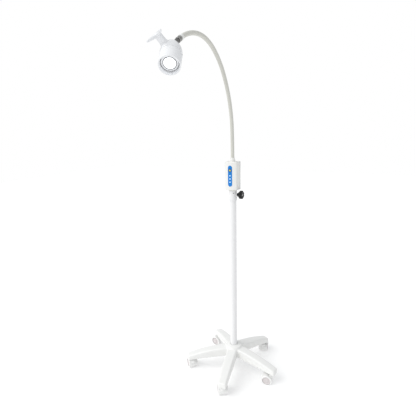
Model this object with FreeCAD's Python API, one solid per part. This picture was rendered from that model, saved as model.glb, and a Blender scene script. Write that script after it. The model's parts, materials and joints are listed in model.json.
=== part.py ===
"""Mobile examination light: five-leg castered base, telescoping pole with a clamp knob,
control box, gooseneck and a bullet-shaped lamp head with a T-handle.

Millimetres, +Z up.  The origin is on the floor under the pole axis.  The control box faces -Y,
the clamp knob is on the +X side and the gooseneck curls towards -Y.
"""
import FreeCAD
import Part
import math
import os
from FreeCAD import Placement, Rotation, Vector

# ---------------------------------------------------------------- driving dimensions
# castered base
leg_count = 5
leg_first_angle = -79.0          # direction of the first leg, degrees from +X
leg_reach = 262.0                # pole axis to the nose of a leg
leg_width_hub = 58.0
leg_width_tip = 46.0
leg_tip_depth = 28.0
leg_wall = 4.0
leg_edge_round = 9.0
nose_round = 8.0
hub_rise = 57.0                  # hub top above the leg tips
hub_depth = 62.0
hub_radius = 46.0
hub_floor = 10.0
hub_top_round = 4.0
hub_ring_radius = 44.0
hub_ring_height = 9.0
bolt_radius = 5.0                # bolt that holds the pole on the hub
bolt_head_radius = 9.0
bolt_head_height = 7.0
washer_radius = 16.0
washer_thickness = 2.5
plug_height = 22.0               # welded plug in the pole's foot

# casters
stem_inset = 27.0                # caster stem axis in from the nose of the leg
stem_radius = 5.0
stem_bite = 22.0                 # length of stem held in the leg's socket
socket_wall = 2.5
wheel_radius = 25.0
wheel_width = 16.0
wheel_trail = 21.0               # axle behind the stem axis
axle_radius = 3.0
hood_web = 15.0                  # thickness of the hood's middle wall
hood_shell = 2.5
hood_gap = 1.6                   # hood to tyre
hood_front_low = 7.0             # lower edge of the hood's front, above the floor
hood_rear_rise = 4.0             # lower edge of the hood's rear, above the axle
stem_shoulder = 6.9              # stem's shoulder between hood and leg
web_low = 9.0                    # lower edge of the hood's middle wall
caster_headings = [126.0, 190.0, 100.0, 175.0, 140.0]   # trail directions, degrees from +X

# pole, collar and clamp
pole_radius = 19.0
pole_wall = 1.5
pole_top = 1033.0
collar_wall = 2.2
collar_below = 44.0              # collar length below the pole's top edge
collar_above = 9.0
bush_height = 40.0
mast_radius = 16.0
mast_wall = 1.6
mast_insert = 380.0              # inner tube held below the collar at the lowest setting
mast_socket = 28.0               # inner tube held in the control box
knob_drop = 13.0                 # clamp axis below the pole's top edge
knob_radius = 22.0
knob_thickness = 19.0
knob_lobes = 7
lobe_cut_radius = 7.0
knob_neck_radius = 6.0
knob_neck_length = 9.0
knob_cone_length = 7.0
screw_radius = 4.0
shoe_radius = 5.0
clamp_travel = 1.9               # screw travel from tight to loose
boss_radius = 8.0
boss_length = 3.5
glide_height = 3.0

# control box
box_width = 68.0
box_depth = 51.0                 # back wall to the front corners
box_crown = 8.0                  # how far the front face bulges
box_height = 143.0
box_back = 27.0                  # back wall behind the pole axis
box_wall = 3.0
box_seam = 13.5                  # joint between front cover and back shell, behind the pole axis
box_corner = 6.0
box_edge = 3.0
panel_width = 22.0
panel_length = 106.0
panel_thickness = 2.2
panel_proud = 0.5
panel_drop = 18.0                # panel top below the box top
key_drop = 24.0                  # power key below the panel top
key_radius = 4.6
key_proud = 1.2
key_travel = 1.0
light_count = 3
light_radius = 1.9
light_first_drop = 51.0
light_pitch = 16.0
board_width = 40.0
board_length = 112.0
board_thickness = 1.6
board_setback = 9.0              # board behind the front wall
switch_size = 6.0
inlet_height = 24.0              # power inlet axis above the box floor
inlet_radius = 5.9
inlet_bore = 3.3
inlet_barrel = 4.0               # barrel beyond the box wall
box_screw_radius = 1.6
board_rise = 16.0                # board above the box floor

# gooseneck
neck_cone_height = 19.0
neck_cone_radius = 15.0
neck_radius = 9.0
neck_links = 6
link_length = 135.15
link_bends = [3.1, 16.2, 15.4, 23.9, 35.1, 28.6]        # curl of each link at rest, degrees
link_gap = 5.0                   # start of a link's straight side beyond its joint
ball_step = 0.1                  # end ball's radius below the neck's
stud_radius = 8.0
ferrule_length = 15.0
ferrule_radius = 10.6

# head: local axis runs from the rim to the back of the dome
head_radius = 40.0
head_length = 123.0
bezel_length = 57.0
bezel_wall = 2.6
rim_wall = 6.0
recess_depth = 14.0
dome_wall = 2.6
lens_radius = 22.0
lens_thickness = 4.0
gasket_wall = 2.2
baffle_thickness = 3.0
groove_radius = 31.0
groove_width = 1.8
lens_offset = Vector(21.0, -104.4, -102.7)              # centre of the lens from the neck's end
beam = Vector(0.310, -0.648, -0.695)                    # direction of the light
handle_side = Vector(-0.293, -0.761, 0.579)             # side of the head that carries the handle
sink_low = 46.0                  # heat sink's plate behind the rim, on a ledge in the bezel
sink_core_radius = 12.0
reflector_wall = 1.6
reflector_throat = 7.4
emitter_radius = 3.5
module_radius = 15.0
fin_count = 4
fin_pitch = 6.5
boss_distance = 38.0             # neck's end to the dome's swivel boss
boss_depth = 28.0
boss_wall = 2.6
nut_length = 20.0
spigot_radius = 9.4
spindle_radius = 5.0
spindle_bite = 14.0
handle_out = 33.0                # stem run away from the head axis
handle_back = 8.0                # stem run towards the back of the head
handle_foot = 87.0               # height of the handle's foot behind the rim
handle_stem_foot = 9.5           # stem's half thickness at its foot
handle_stem_top = 8.0
handle_stem_flare = 1.6          # stem's width over its thickness
arm_span = 31.0                  # half the width across the handle's two arms
arm_out = 13.5
arm_forward = 25.5
arm_root_radius = 7.5
arm_tip_radius = 5.0
handle_screw_radius = 2.0
screw_head_radius = 4.0

# fits
contact_gap = 0.4                # pieces that move past each other without guiding
running_gap = 0.05               # radial, shafts and slides that guide
thread_gap = 0.05

# ---------------------------------------------------------------- derived places
caster_height = 2.0 * wheel_radius + hood_gap + hood_shell + stem_shoulder
leg_tip_top = caster_height + leg_tip_depth             # top of a leg at its nose
hub_top = leg_tip_top + hub_rise
hub_bottom = hub_top - hub_depth
leg_tip_bottom = leg_tip_top - leg_tip_depth
stem_reach = leg_reach - stem_inset
stem_top = leg_tip_bottom + stem_bite
pole_bottom = hub_bottom + hub_floor
pole_bore = pole_radius - pole_wall
bush_bore = mast_radius + running_gap
collar_bottom = pole_top - collar_below
collar_top = pole_top + collar_above
collar_radius = pole_radius + collar_wall
clamp_height = pole_top - knob_drop
boss_end = collar_radius + boss_length
glide_bottom = collar_top + contact_gap
glide_top = glide_bottom + glide_height
box_bottom = glide_top + contact_gap
box_top = box_bottom + box_height
box_front = box_back - box_depth - box_crown            # y of the crown's highest line
panel_top = box_top - panel_drop
panel_face = box_front - panel_proud
panel_seat = panel_face + panel_thickness
key_height = panel_top - key_drop
board_front = box_front + box_wall + board_setback
neck_start = box_top + neck_cone_height
board_low = box_bottom + board_rise
inlet_axis = box_bottom + inlet_height
ledge_top = sink_low
ledge_radius = head_radius - bezel_wall - 3.0
lens_face = recess_depth
head_back = beam * -1.0

os.makedirs("parts", exist_ok=True)


# ---------------------------------------------------------------- helpers
def save(name, shape):
    """Write one node."""
    shape.exportStep("parts/" + name + ".step")


def rod(radius, low, high, x=0.0, y=0.0):
    """Upright cylinder between two heights."""
    return Part.makeCylinder(radius, high - low, Vector(x, y, low))


def rod_between(radius, start, end):
    """Cylinder between two points."""
    run = end - start
    return Part.makeCylinder(radius, run.Length, start, run)


def turned(profile):
    """Solid of revolution about Z from a closed outline of (radius, height) points."""
    points = [Vector(r, 0, z) for r, z in profile]
    face = Part.Face(Part.makePolygon(points + points[:1]))
    return face.revolve(Vector(0, 0, 0), Vector(0, 0, 1), 360)


def fuse(first, *others):
    """One solid from overlapping or touching solids."""
    return first.multiFuse(list(others)).removeSplitter()


def spun(shape, degrees):
    """Copy of a shape turned about the pole axis."""
    return shape.rotated(Vector(0, 0, 0), Vector(0, 0, 1), degrees)


def rounded(shape, radius, wanted):
    """Fillet the edges that a test picks."""
    edges = [edge for edge in shape.Edges if wanted(edge)]
    return shape.makeFillet(radius, edges) if edges else shape


# ---------------------------------------------------------------- base
def leg_section(share, inset, drop):
    """Round-shouldered cross-section of a leg, at a share of its reach from the pole axis."""
    x = share * (leg_reach - inset)
    top = leg_tip_top + (hub_top - 4.0 - leg_tip_top) * (1.0 - share ** 1.8) - inset
    low = leg_tip_bottom + (hub_bottom + 8.0 - leg_tip_bottom) * (1.0 - share ** 1.5) - drop
    half = (leg_width_hub + (leg_width_tip - leg_width_hub) * share) / 2.0 - inset
    bend = leg_edge_round - 0.5 * inset
    slant = bend * (1.0 - math.sqrt(0.5))
    left_low = Vector(x, -half, low)
    left_high = Vector(x, -half, top - bend)
    left_top = Vector(x, bend - half, top)
    right_top = Vector(x, half - bend, top)
    right_high = Vector(x, half, top - bend)
    right_low = Vector(x, half, low)
    edges = [Part.LineSegment(left_low, left_high).toShape(),
             Part.Arc(left_high, Vector(x, slant - half, top - slant), left_top).toShape(),
             Part.LineSegment(left_top, right_top).toShape(),
             Part.Arc(right_top, Vector(x, half - slant, top - slant), right_high).toShape(),
             Part.LineSegment(right_high, right_low).toShape(),
             Part.LineSegment(right_low, left_low).toShape()]
    return Part.Wire(edges)


def leg_shape(inset, drop):
    """One arched, tapering leg along +X, shrunk by inset and with its underside lowered by drop."""
    shares = [0.0, 0.2, 0.4, 0.6, 0.8, 1.0]
    return Part.makeLoft([leg_section(share, inset, drop) for share in shares], True, False)


def make_leg():
    """Hollow leg, open underneath, with a boss for the caster's socket."""
    body = leg_shape(0.0, 0.0)
    body = rounded(body, nose_round, lambda edge: edge.BoundBox.XMin > leg_reach - 0.1
                   and edge.BoundBox.ZMax > leg_tip_bottom + 1.0)
    room = leg_shape(leg_wall, leg_wall).cut(rod(hub_radius - leg_wall, 0, 2.0 * hub_top))
    boss = rod(stem_radius + socket_wall + leg_wall, leg_tip_bottom, 2.0 * leg_tip_top, stem_reach)
    boss = boss.common(body)
    leg = body.cut(room).fuse(boss)
    return leg.cut(socket_hole(stem_radius + socket_wall)).cut(rod(hub_radius - 2.0, 0, 2.0 * hub_top))


def socket_hole(radius):
    return rod(radius, leg_tip_bottom - 1.0, stem_top, stem_reach)


def make_base():
    leg = make_leg()
    hub = rod(hub_radius, hub_bottom, hub_top)
    hub = rounded(hub, hub_top_round, lambda edge: edge.BoundBox.ZMin > hub_top - 0.1)
    legs = [spun(leg, leg_first_angle + k * 360.0 / leg_count) for k in range(leg_count)]
    star = fuse(hub, *legs)
    star = star.cut(rod(pole_radius, pole_bottom, hub_top + 1.0))
    save("base_star", star.cut(rod(bolt_radius + contact_gap, hub_bottom - 1.0, pole_bottom + 1.0)))
    sleeve = socket_hole(stem_radius + socket_wall).cut(socket_hole(stem_radius + running_gap))
    sleeve = sleeve.common(rod(stem_radius + socket_wall, leg_tip_bottom, stem_top, stem_reach))
    sockets = [spun(sleeve, leg_first_angle + k * 360.0 / leg_count) for k in range(leg_count)]
    save("stem_sockets", Part.makeCompound(sockets))


def make_pole():
    """Outer tube with a welded foot plug, the bolt that holds it and the ring around its foot."""
    tube = rod(pole_radius, pole_bottom, pole_top)
    tube = tube.cut(rod(pole_bore, pole_bottom + plug_height, pole_top + 1.0))
    tube = tube.cut(rod(bolt_radius, pole_bottom - 1.0, pole_bottom + plug_height + 1.0))
    window = place_on_clamp(rod(shoe_radius + contact_gap, 0, pole_radius + 5.0))
    save("pole_tube", tube.cut(window))
    washer_top = hub_bottom
    washer = rod(washer_radius, washer_top - washer_thickness, washer_top)
    washer = washer.cut(rod(bolt_radius, washer_top - 5.0, washer_top + 1.0))
    head_low = washer_top - washer_thickness - bolt_head_height
    bolt = fuse(rod(bolt_head_radius, head_low, washer_top - washer_thickness),
                rod(bolt_radius, head_low, pole_bottom + plug_height - 3.0))
    save("pole_bolt", Part.makeCompound([bolt, washer]))
    ring_top = hub_top + hub_ring_height
    ring = turned([(pole_radius, hub_top), (hub_ring_radius, hub_top),
                   (hub_ring_radius, hub_top + 3.0), (hub_ring_radius - 7.0, hub_top + 5.0),
                   (pole_radius + 5.0, ring_top), (pole_radius, ring_top)])
    save("hub_ring", ring)
    bush = rod(pole_bore, pole_top - bush_height, pole_top)
    save("collar_bush", bush.cut(rod(bush_bore, 0, pole_top + 1.0)).cut(window))


def make_collar():
    """Collar over the pole's top edge, with a threaded boss for the clamp screw."""
    boss = place_on_clamp(rod(boss_radius, 0, boss_end))
    body = rod(collar_radius, collar_bottom, collar_top)
    body = rounded(body, 1.0, lambda edge: edge.BoundBox.ZLength < 0.1)
    body = body.fuse(boss)
    body = body.cut(rod(pole_radius, collar_bottom - 1.0, pole_top))
    body = body.cut(rod(bush_bore + contact_gap, pole_top - 1.0, collar_top + 1.0))
    room_end = pole_radius + clamp_travel + 2.0 * contact_gap
    shoe_room = place_on_clamp(rod(shoe_radius + contact_gap, 0, room_end))
    thread = place_on_clamp(rod(screw_radius + thread_gap, 0, boss_end + 1.0))
    save("pole_collar", body.cut(shoe_room).cut(thread))


# ---------------------------------------------------------------- clamp
def place_on_clamp(shape):
    """Turn a shape drawn along +Z to the clamp axis, which runs out along +X."""
    shape.Placement = Placement(Vector(0, 0, clamp_height), Rotation(Vector(0, 1, 0), 90))
    return shape


def make_clamp():
    """Friction shoe, clamp screw and the lobed knob on it."""
    shoe_end = pole_radius + 0.5
    shoe = place_on_clamp(rod(shoe_radius, mast_radius - 3.0, shoe_end))
    save("clamp_shoe", shoe.cut(rod(bush_bore, 0, pole_top)))
    neck_low = boss_end + contact_gap
    cone_low = neck_low + knob_neck_length
    disc_low = cone_low + knob_cone_length
    disc_top = disc_low + knob_thickness
    screw_start = shoe_end + thread_gap
    save("lock_screw", place_on_clamp(rod(screw_radius, screw_start, disc_top - 5.0)))
    disc = rod(knob_radius, disc_low, disc_top)
    for k in range(knob_lobes):
        angle = math.radians(k * 360.0 / knob_lobes)
        reach = knob_radius + 0.45 * lobe_cut_radius
        disc = disc.cut(rod(lobe_cut_radius, disc_low - 1.0, disc_top + 1.0,
                            reach * math.cos(angle), reach * math.sin(angle)))
    disc = rounded(disc, 2.5, lambda edge: edge.BoundBox.ZLength < 0.1)
    cone = Part.makeCone(knob_neck_radius, 0.68 * knob_radius, knob_cone_length, Vector(0, 0, cone_low))
    knob = fuse(disc, cone, rod(knob_neck_radius, neck_low, cone_low + 0.5))
    save("lock_knob", place_on_clamp(knob.cut(rod(screw_radius, 0, disc_top - 5.0))))


# ---------------------------------------------------------------- telescoping mast
def make_mast():
    """Inner tube, and the slip ring that the box rests and turns on."""
    low = collar_bottom - mast_insert + collar_below
    high = box_bottom + mast_socket
    tube = rod(mast_radius, low, high).cut(rod(mast_radius - mast_wall, low - 1.0, high + 1.0))
    save("mast_tube", tube)
    ring = rod(collar_radius + 1.0, glide_bottom, glide_top).cut(rod(bush_bore, 0, glide_top + 1.0))
    save("glide_ring", ring)


# ---------------------------------------------------------------- control box
def box_block(inset):
    """The box's outside, or its inside when inset by the wall."""
    half = box_width / 2.0 - inset
    back = box_back - inset
    corner = box_back - box_depth + inset
    crown = box_front + inset
    plan = [Part.LineSegment(Vector(half, back, 0), Vector(half, corner, 0)).toShape(),
            Part.Arc(Vector(half, corner, 0), Vector(0, crown, 0), Vector(-half, corner, 0)).toShape(),
            Part.LineSegment(Vector(-half, corner, 0), Vector(-half, back, 0)).toShape(),
            Part.LineSegment(Vector(-half, back, 0), Vector(half, back, 0)).toShape()]
    low = box_bottom + inset
    block = Part.Face(Part.Wire(plan)).extrude(Vector(0, 0, box_top - inset - low))
    block.translate(Vector(0, 0, low))
    tall = box_height - 2.0 * inset - 1.0
    block = rounded(block, box_corner - 0.5 * inset, lambda edge: edge.BoundBox.ZLength > tall)
    if inset:
        return block
    return rounded(block, box_edge, lambda edge: edge.BoundBox.ZLength < 0.1)


def stadium(width, length, front, thickness, top):
    """Flat plate with round ends, standing in the XZ plane."""
    radius = width / 2.0
    low = top - length + radius
    high = top - radius
    plan = [Part.LineSegment(Vector(-radius, front, low), Vector(-radius, front, high)).toShape(),
            Part.Arc(Vector(-radius, front, high), Vector(0, front, top),
                     Vector(radius, front, high)).toShape(),
            Part.LineSegment(Vector(radius, front, high), Vector(radius, front, low)).toShape(),
            Part.Arc(Vector(radius, front, low), Vector(0, front, top - length),
                     Vector(-radius, front, low)).toShape()]
    return Part.Face(Part.Wire(plan)).extrude(Vector(0, thickness, 0))


def through(radius, x, z, front, back):
    """Cylinder along +Y."""
    return Part.makeCylinder(radius, back - front, Vector(x, front, z), Vector(0, 1, 0))


def box_screw_places():
    side = box_width / 2.0 - 9.0
    return [(x, z) for x in (-side, side) for z in (box_bottom + 12.0, box_top - 12.0)]


def light_heights():
    return [panel_top - light_first_drop - k * light_pitch for k in range(light_count)]


def make_box():
    shell = box_block(0.0).cut(box_block(box_wall))
    far = 200.0
    front_half = Part.makeBox(2 * far, far + box_seam, box_height + 20.0,
                              Vector(-far, -far, box_bottom - 10.0))
    front = shell.common(front_half)
    back = shell.cut(front_half)

    # front cover: mast socket, screw bosses and board posts
    socket_shell = rod(mast_radius + 3.0, box_bottom, box_bottom + mast_socket)
    board_x = board_width / 2.0 - 4.0
    posts = [through(3.0, x, z, box_front + box_crown * 0.6, board_front)
             for x in (-board_x, board_x) for z in (board_low + 5.0, board_low + board_length - 5.0)]
    bosses = [through(4.0, x, z, box_front + box_crown, box_seam) for x, z in box_screw_places()]
    inside = box_block(box_wall - 0.5)
    added = [solid.common(inside) for solid in posts + bosses] + [socket_shell]
    front = fuse(front, *added)
    front = front.cut(rod(mast_radius, box_bottom - 1.0, box_bottom + mast_socket + 1.0))
    front = front.cut(rod(stud_radius, box_top - 2.0 * box_wall, box_top + 1.0))
    seat = stadium(panel_width, panel_length, panel_face - 1.0, panel_thickness + 1.0, panel_top)
    front = front.cut(seat)
    front = front.cut(through(key_radius + contact_gap, 0, key_height, panel_face - 1.0, board_front - 1.0))
    for z in light_heights():
        front = front.cut(through(light_radius, 0, z, panel_face - 1.0, board_front - 1.0))
    for x, z in box_screw_places():
        front = front.cut(through(box_screw_radius, x, z, box_seam - 14.0, box_seam + 1.0))
    save("box_front", front)

    # back shell: screw pillars with head recesses, and the power inlet's hole
    pillars = [through(4.0, x, z, box_seam, box_back - 1.0) for x, z in box_screw_places()]
    back = fuse(back, *[pillar.common(inside) for pillar in pillars])
    screws = []
    head_seat = box_back - 4.0
    for x, z in box_screw_places():
        back = back.cut(through(box_screw_radius + 0.1, x, z, box_seam - 1.0, box_back + 1.0))
        back = back.cut(through(3.2, x, z, head_seat, box_back + 1.0))
        screws.append(fuse(through(box_screw_radius, x, z, box_seam - 10.0, head_seat + 0.5),
                           through(3.0, x, z, head_seat, box_back - 1.4)))
    back = back.cut(through(inlet_radius, 0, inlet_axis, box_seam, box_back + 1.0))
    back = back.cut(rod(mast_radius + 3.0, box_bottom - 1.0, box_bottom + mast_socket))
    save("box_back", back)
    save("box_screws", Part.makeCompound(screws))


def make_controls():
    """Front panel strip, power key, indicator light pipes, circuit board and power inlet."""
    panel = stadium(panel_width, panel_length, panel_face, panel_thickness, panel_top)
    panel = panel.cut(through(key_radius + contact_gap, 0, key_height, panel_face - 1.0, panel_seat + 1.0))
    for z in light_heights():
        panel = panel.cut(through(light_radius, 0, z, panel_face - 1.0, panel_seat + 1.0))
    save("control_panel", panel)
    inner_wall = box_front + box_wall
    flange_front = inner_wall + contact_gap
    flange_back = flange_front + 1.5
    key = fuse(through(key_radius, 0, key_height, panel_face - key_proud, flange_back),
               through(key_radius + 1.6, 0, key_height, flange_front, flange_back))
    save("power_key", key)
    pipes = [through(light_radius, 0, z, panel_face - 0.2, board_front - 1.5) for z in light_heights()]
    save("light_pipes", Part.makeCompound(pipes))
    board = Part.makeBox(board_width, board_thickness, board_length,
                         Vector(-board_width / 2.0, board_front, board_low))
    board = board.cut(rod(mast_radius + 4.0, 0, box_bottom + mast_socket + 1.0))
    switch_front = flange_back + key_travel + 0.3
    switch = Part.makeBox(switch_size, board_front - switch_front, switch_size,
                          Vector(-switch_size / 2.0, switch_front, key_height - switch_size / 2.0))
    board_back = board_front + board_thickness
    choke = through(7.0, 8.0, box_top - 46.0, board_back, board_back + 9.0)
    capacitor = through(4.0, -11.0, box_top - 40.0, board_back, board_back + 11.0)
    plug = Part.makeBox(14.0, 7.0, 7.0, Vector(-7.0, board_back, box_top - 72.0))
    save("circuit_board", Part.makeCompound([board, switch, choke, capacitor, plug]))
    barrel = through(inlet_radius, 0, inlet_axis, box_back - box_wall - inlet_barrel, box_back)
    lip = through(inlet_radius + 2.2, 0, inlet_axis, box_back, box_back + 1.6)
    inlet = fuse(barrel, lip)
    inlet_floor = box_back - box_wall - 0.6 * inlet_barrel
    inlet = inlet.cut(through(inlet_bore, 0, inlet_axis, inlet_floor, box_back + 3.0))
    pin = through(1.0, 0, inlet_axis, inlet_floor - 0.5, box_back - box_wall)
    save("power_inlet", inlet.fuse(pin))


# ---------------------------------------------------------------- gooseneck
def neck_joints():
    """Joint points and tangents of the neck at rest, which bends in the YZ plane."""
    point = Vector(0, 0, neck_start)
    turn = 0.0
    joints = [(point, turn)]
    for bend in link_bends:
        step = math.radians(bend)
        chord = link_length * math.sin(step / 2.0) / (step / 2.0)
        middle = turn + step / 2.0
        point = point + Vector(0, -math.sin(middle), math.cos(middle)) * chord
        turn += step
        joints.append((point, turn))
    return joints


def along(turn):
    """Unit tangent of the neck where it has turned this far."""
    return Vector(0, -math.sin(turn), math.cos(turn))


def link_arc(index):
    """Bent rod of one link, from its first joint to its last."""
    start, turn = neck_joints()[index]
    bend = link_bends[index]
    radius = link_length / math.radians(bend)
    inward = Vector(0, -math.cos(turn), -math.sin(turn))
    disc = Part.Face(Part.Wire(Part.makeCircle(neck_radius, start, along(turn))))
    return disc.revolve(start + inward * radius, Vector(1, 0, 0), bend)


def make_neck():
    joints = neck_joints()
    nut_top = box_top - box_wall
    cone = Part.makeCone(neck_cone_radius, neck_radius + 1.2, neck_cone_height, Vector(0, 0, box_top))
    cone = rounded(cone, 1.0, lambda edge: edge.BoundBox.ZLength < 0.1
                   and edge.BoundBox.ZMin > box_top + 1.0)
    save("neck_cone", cone.cut(rod(stud_radius, 0, neck_start + 1.0)))
    nut_low = nut_top - 6.0
    nut = rod(13.0, nut_low, nut_top)
    for k in range(6):
        flat = Part.makeBox(10.0, 40.0, 10.0, Vector(11.5, -20.0, nut_low - 1.0))
        nut = nut.cut(spun(flat, k * 60.0))
    save("neck_nut", nut.cut(rod(stud_radius, 0, neck_start)))
    for index in range(neck_links):
        start, turn = joints[index]
        end = joints[index + 1][0]
        link = link_arc(index)
        if index == 0:
            link = fuse(link, rod(stud_radius, nut_low - 2.0, neck_start + 0.5))
        else:
            clear = rod_between(neck_radius + 3.0, start - along(turn) * 6.0, start + along(turn) * link_gap)
            link = link.cut(clear)
            link = link.cut(Part.makeSphere(neck_radius + contact_gap, start))
        if index < neck_links - 1:
            link = fuse(link, Part.makeSphere(neck_radius - ball_step, end, along(joints[index + 1][1])))
        else:
            bore_end = end - along(joints[-1][1]) * (spindle_bite + 1.0)
            bore = rod_between(spindle_radius + running_gap, bore_end, end)
            link = link.cut(bore)
        save("gooseneck_%d" % (index + 1), link)


# ---------------------------------------------------------------- head
def on_head(shape):
    """Place a shape drawn with its rim at z=0 and its back along +Z onto the tilted head."""
    side = handle_side - beam * (handle_side * beam)
    side.normalize()
    axis = Vector(head_back)
    axis.normalize()
    across = axis.cross(side)
    turn = Rotation(side, across, axis, "ZXY")
    origin = neck_joints()[-1][0] + lens_offset - axis * lens_face
    shape.Placement = Placement(origin, turn).multiply(shape.Placement)
    return shape


def to_head(point):
    """A global point in the head's own coordinates."""
    marker = on_head(Part.Vertex(0, 0, 0))
    return marker.Placement.inverse().multVec(point)


def dome_solid(inset):
    """Half-ellipsoid on the bezel, made by stretching a half ball."""
    wide = head_radius - inset
    tall = head_length - bezel_length - inset
    ball = Part.makeSphere(wide, Vector(0, 0, 0), Vector(0, 0, 1), 0, 90, 360)
    stretch = FreeCAD.Matrix()
    stretch.scale(Vector(1.0, 1.0, tall / wide))
    dome = ball.transformGeometry(stretch)
    dome.translate(Vector(0, 0, bezel_length))
    return dome


def swivel_line():
    """Swivel axis in head coordinates: the neck's end and its direction."""
    end, turn = neck_joints()[-1]
    foot = to_head(end)
    tip = to_head(end + along(turn) * 100.0)
    run = tip - foot
    run.normalize()
    return foot, run


def make_shells():
    bezel = turned([(head_radius - 1.2, 0), (head_radius, 1.2), (head_radius, bezel_length),
                    (head_radius - bezel_wall, bezel_length), (head_radius - bezel_wall, ledge_top),
                    (ledge_radius, ledge_top), (ledge_radius, ledge_top - 3.0),
                    (head_radius - bezel_wall, ledge_top - 5.0),
                    (head_radius - bezel_wall, recess_depth + baffle_thickness),
                    (lens_radius + gasket_wall, recess_depth + baffle_thickness),
                    (lens_radius + gasket_wall, recess_depth),
                    (groove_radius, recess_depth), (groove_radius, recess_depth + 1.4),
                    (groove_radius + groove_width, recess_depth + 1.4),
                    (groove_radius + groove_width, recess_depth),
                    (head_radius - rim_wall, recess_depth), (head_radius - rim_wall + 1.5, 1.5),
                    (head_radius - rim_wall + 3.0, 0)])
    save("head_bezel", on_head(bezel))

    shell = dome_solid(0.0).cut(dome_solid(dome_wall))
    lip_out = head_radius - bezel_wall - 0.1
    lip_in = lip_out - 2.1
    lip = turned([(lip_in, bezel_length - 5.0), (lip_out, bezel_length - 5.0), (lip_out, bezel_length),
                  (lip_out + 1.0, bezel_length), (lip_out + 1.0, bezel_length + 3.0),
                  (lip_in, bezel_length + 3.0)])
    foot, run = swivel_line()
    boss_start = foot + run * boss_distance
    boss = rod_between(spigot_radius + boss_wall, boss_start, boss_start + run * boss_depth)
    shell = fuse(shell, lip, boss)
    shell = shell.cut(rod_between(spigot_radius, boss_start - run, boss_start + run * (boss_depth + 1.0)))
    screw_from, screw_to = screw_line()
    shell = shell.cut(rod_between(handle_screw_radius + 0.1, screw_from, screw_to))
    shell = shell.cut(rod_between(screw_head_radius + 0.1, screw_from, screw_seat()))
    save("head_rear", on_head(shell))


def handle_points():
    """Foot and junction of the handle's stem in head coordinates."""
    wide = head_radius
    tall = head_length - bezel_length
    rise = handle_foot - bezel_length
    foot_radius = wide * math.sqrt(1.0 - (rise / tall) ** 2)
    foot = Vector(foot_radius, 0, handle_foot)
    junction = foot + Vector(handle_out, 0, handle_back)
    return foot, junction


def screw_line():
    """The handle screw's axis, from inside the dome into the stem."""
    foot, junction = handle_points()
    run = junction - foot
    run.normalize()
    return foot - run * 9.0, foot + run * 14.0


def screw_seat():
    """Where the handle screw's head bears on the inside of the dome."""
    foot, junction = handle_points()
    run = junction - foot
    run.normalize()
    return foot - run * 0.6 * dome_wall


def make_handle():
    """Wide flattened stem that splits into two tapering arms, and the screw that holds it."""
    foot, junction = handle_points()
    run = junction - foot
    run.normalize()
    root = foot - run * handle_stem_foot
    stem = Part.makeCone(handle_stem_foot, handle_stem_top, (junction - root).Length, root, run)
    widen = FreeCAD.Matrix()
    widen.scale(Vector(1.0, handle_stem_flare, 1.0))
    pieces = [stem.transformGeometry(widen), Part.makeSphere(arm_root_radius, junction)]
    for hand in (-1.0, 1.0):
        reach = Vector(arm_out, hand * arm_span, -arm_forward)
        pieces.append(Part.makeCone(arm_root_radius, arm_tip_radius, reach.Length, junction, reach))
        pieces.append(Part.makeSphere(arm_tip_radius, junction + reach))
    handle = fuse(*pieces).cut(dome_solid(0.0))
    screw_from, screw_to = screw_line()
    handle = handle.cut(rod_between(handle_screw_radius, screw_from, screw_to))
    save("handle", on_head(handle))
    seat = screw_seat()
    screw = fuse(rod_between(handle_screw_radius, seat, screw_to - run),
                 rod_between(screw_head_radius, seat - run * 2.5, seat))
    save("handle_screw", on_head(screw))


def make_optics():
    """Lens, its dark ring, reflector, light source and finned heat sink."""
    seat = lens_face
    lens_back = seat + lens_thickness
    gasket_radius = lens_radius + gasket_wall
    lens = turned([(0, seat - 0.8), (lens_radius * 0.7, seat - 0.4), (lens_radius, seat + 0.6),
                   (lens_radius, lens_back), (0, lens_back)])
    save("lens", on_head(lens))
    ring = turned([(lens_radius, seat - 0.9), (gasket_radius - 0.4, seat - 0.9),
                   (gasket_radius, seat - 0.3), (gasket_radius, lens_back), (lens_radius, lens_back)])
    save("lens_gasket", on_head(ring))
    cup_low = seat + lens_thickness + 0.4
    cup_top = sink_low - 5.0
    reflector = turned([(lens_radius, cup_low), (lens_radius + reflector_wall, cup_low),
                        (reflector_throat + reflector_wall, cup_top), (reflector_throat, cup_top)])
    save("reflector", on_head(reflector))
    emitter_base = cup_top + 1.0
    emitter = Part.makeSphere(emitter_radius, Vector(0, 0, emitter_base))
    emitter = emitter.common(rod(emitter_radius + 1.0, cup_top - 4.0, emitter_base))
    disc = rod(module_radius, emitter_base, sink_low)
    save("led_module", on_head(fuse(disc, emitter)))
    sink = rod(head_radius - bezel_wall - 1.0, sink_low, sink_low + 3.0)
    core = rod(sink_core_radius, sink_low + 2.5, sink_low + 34.0)
    fins = [rod(fin_radius, sink_low + 8.0 + fin_pitch * k, sink_low + 10.0 + fin_pitch * k)
            for k, fin_radius in enumerate(fin_radii())]
    save("heat_sink", on_head(fuse(sink, core, *fins)))


def fin_radii():
    """Fins shrink with the dome."""
    wide = head_radius - dome_wall - 5.0
    tall = head_length - bezel_length - dome_wall - 5.0
    radii = []
    for k in range(fin_count):
        rise = max(0.0, sink_low + 10.0 + fin_pitch * k - bezel_length)
        radii.append(min(wide * math.sqrt(1.0 - (rise / tall) ** 2), head_radius - bezel_wall - 4.0))
    return radii


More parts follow.
